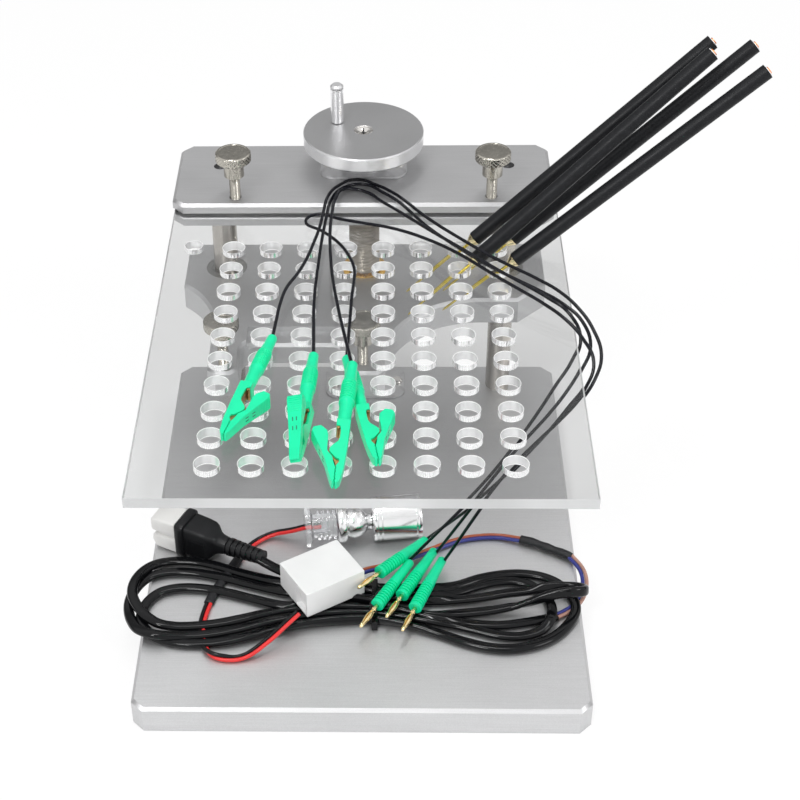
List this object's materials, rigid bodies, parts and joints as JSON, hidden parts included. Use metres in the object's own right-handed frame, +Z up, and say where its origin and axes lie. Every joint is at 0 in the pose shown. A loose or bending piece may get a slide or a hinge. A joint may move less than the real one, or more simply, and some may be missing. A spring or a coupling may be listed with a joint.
{
  "type": "programming frame",
  "caption": "Bench frame that holds a circuit board under a clear hole plate, with a screw-driven carrier, probe pens, clip leads, a lamp and its mains supply.",
  "frame": {"origin": "middle of the base plate's underside", "axes": "+X to the right seen from the front, +Y to the tower at the back, +Z up along the columns"},
  "size_m": [0.3014, 0.2833, 0.2464],
  "materials": {
    "anodised": "satin silver anodised, blasted",
    "column_steel": "ground and polished",
    "bearing": "polished",
    "bearing_sleeve": "machined",
    "screw_steel": "rolled thread, oiled",
    "small_screws": "nickel plated",
    "base_screws": "blackened",
    "thumb_screws": "nickel plated, knurled head",
    "clear_acrylic": "clear, polished faces",
    "brass": "machined",
    "pen_black": "fine matt",
    "pen_white": "plain",
    "copper": "drawn tube",
    "gold": "gold plated",
    "clip_green": "soft vinyl",
    "box_white": "moulded, smooth",
    "plug_black": "moulded, satin",
    "cover_white": "moulded, ridged",
    "lamp_clear": "clear moulded plastic",
    "lamp_chrome": "polished",
    "lamp_lens": "frosted lens",
    "cord_black": "smooth sheath",
    "wire_red": "smooth, red beside black",
    "wire_brown": "smooth, brown beside blue",
    "lead_black": "smooth silicone"
  },
  "bodies": {
    "frame": {"base_plate": "anodised", "clamp_bar": "anodised", "top_plate": "anodised", "guide_columns": "column_steel", "base_bearing": "bearing", "top_bearing": "bearing", "column_screws": "small_screws", "bearing_screws": "small_screws", "base_screws": "base_screws", "hole_plate": "clear_acrylic", "probe_pen_1": "pen_black", "probe_pen_2": "pen_black", "probe_pen_3": "pen_black", "probe_pen_4": "pen_black", "pen_insulators": "pen_white", "pen_sockets": "copper", "plug_pins": "gold", "clip_body_1": "clip_green", "clip_body_2": "clip_green", "clip_body_3": "clip_green", "clip_body_4": "clip_green", "plug_sleeves": "clip_green", "supply_box": "box_white", "mains_plug": "plug_black", "plug_strain_relief": "plug_black", "prong_cover": "cover_white", "lamp_socket": "lamp_clear", "lamp_flange": "lamp_chrome", "mains_hank": "cord_black", "hank_tie": "cord_black", "mains_lead": "cord_black", "splice_sleeve": "cord_black", "lamp_lead": "wire_red", "supply_pair": "wire_brown", "test_lead_1": "lead_black", "test_lead_2": "lead_black", "test_lead_3": "lead_black", "test_lead_4": "lead_black"},
    "lift": {"carrier": "anodised", "column_bearings": "bearing_sleeve", "carrier_nut": "brass"},
    "spindle": {"lead_screw": "screw_steel", "hand_wheel": "anodised", "crank_post": "anodised"},
    "crank": {"crank_sleeve": "anodised"},
    "clamp_screw_left": {"top_thumb_screw_left": "thumb_screws"},
    "clamp_screw_right": {"top_thumb_screw_right": "thumb_screws"},
    "arm_screw_left": {"arm_thumb_screw_left": "thumb_screws"},
    "arm_screw_right": {"arm_thumb_screw_right": "thumb_screws"},
    "lamp": {"lamp_ball": "lamp_chrome", "lamp_head": "lamp_chrome", "lamp_lens": "lamp_lens"},
    "needle_1": {"probe_needle_1": "gold"},
    "lever_1": {"clip_lever_1": "clip_green"},
    "needle_2": {"probe_needle_2": "gold"},
    "lever_2": {"clip_lever_2": "clip_green"},
    "needle_3": {"probe_needle_3": "gold"},
    "lever_3": {"clip_lever_3": "clip_green"},
    "needle_4": {"probe_needle_4": "gold"},
    "lever_4": {"clip_lever_4": "clip_green"}
  },
  "joints": [
    {"name": "wheel_turn", "type": "hinge", "parent": "frame", "child": "spindle", "pos_m": [0, 0.112, 0.1], "axis": [0, 0, 1], "range_deg": [-4320, 9000]},
    {"name": "carrier_lift", "type": "slide", "parent": "frame", "child": "lift", "axis": [0, 0, 1], "range_m": [-0.05, 0.024]},
    {"name": "crank_turn", "type": "hinge", "parent": "spindle", "child": "crank", "pos_m": [-0.0133, 0.121, 0.187], "axis": [0, 0, 1], "continuous": true},
    {"name": "clamp_screw_left_turn", "type": "hinge", "parent": "frame", "child": "clamp_screw_left", "pos_m": [-0.0636, 0.0816, 0.17], "axis": [0, 0, 1], "continuous": true},
    {"name": "clamp_screw_right_turn", "type": "hinge", "parent": "frame", "child": "clamp_screw_right", "pos_m": [0.0636, 0.0816, 0.17], "axis": [0, 0, 1], "continuous": true},
    {"name": "arm_screw_left_turn", "type": "hinge", "parent": "lift", "child": "arm_screw_left", "pos_m": [-0.069, 0.027, 0.105], "axis": [0, 0, 1], "continuous": true},
    {"name": "arm_screw_right_turn", "type": "hinge", "parent": "lift", "child": "arm_screw_right", "pos_m": [0, 0.027, 0.105], "axis": [0, 0, 1], "continuous": true},
    {"name": "lamp_tilt", "type": "hinge", "parent": "frame", "child": "lamp", "pos_m": [-0.00474, -0.01419, 0.0253], "axis": [0.1392, -0.9903, 0], "range_deg": [0, 35]},
    {"name": "needle_1_press", "type": "slide", "parent": "frame", "child": "needle_1", "axis": [0.7601, 0.2237, 0.6101], "range_m": [0, 0.004], "stiffness_N_per_m": 150, "springref_m": -0.001},
    {"name": "needle_2_press", "type": "slide", "parent": "frame", "child": "needle_2", "axis": [0.7439, 0.2431, 0.6225], "range_m": [0, 0.004], "stiffness_N_per_m": 150, "springref_m": -0.001},
    {"name": "needle_3_press", "type": "slide", "parent": "frame", "child": "needle_3", "axis": [0.7699, 0.2164, 0.6004], "range_m": [0, 0.004], "stiffness_N_per_m": 150, "springref_m": -0.001},
    {"name": "needle_4_press", "type": "slide", "parent": "frame", "child": "needle_4", "axis": [0.7879, 0.2008, 0.5821], "range_m": [0, 0.004], "stiffness_N_per_m": 150, "springref_m": -0.001},
    {"name": "lever_1_open", "type": "hinge", "parent": "frame", "child": "lever_1", "pos_m": [-0.04597, -0.08572, 0.15535], "axis": [0, 0, 1], "range_deg": [0, 18], "stiffness_Nm_per_rad": 0.05, "springref_deg": -11.46},
    {"name": "lever_2_open", "type": "hinge", "parent": "frame", "child": "lever_2", "pos_m": [-0.02642, -0.10068, 0.16052], "axis": [-0.817, 0.06, -0.5736], "range_deg": [0, 18], "stiffness_Nm_per_rad": 0.05, "springref_deg": -11.46},
    {"name": "lever_3_open", "type": "hinge", "parent": "frame", "child": "lever_3", "pos_m": [-0.01183, -0.11473, 0.15846], "axis": [-0.0613, 0.0996, -0.9931], "range_deg": [0, 18], "stiffness_Nm_per_rad": 0.05, "springref_deg": -11.46},
    {"name": "lever_4_open", "type": "hinge", "parent": "frame", "child": "lever_4", "pos_m": [0.00806, -0.09952, 0.15535], "axis": [0, 0, 1], "range_deg": [0, 18], "stiffness_Nm_per_rad": 0.05, "springref_deg": -11.46}
  ],
  "couplings": [
    {"joint": "wheel_turn", "follows": "carrier_lift", "rad_per_m": -3141.6}
  ]
}
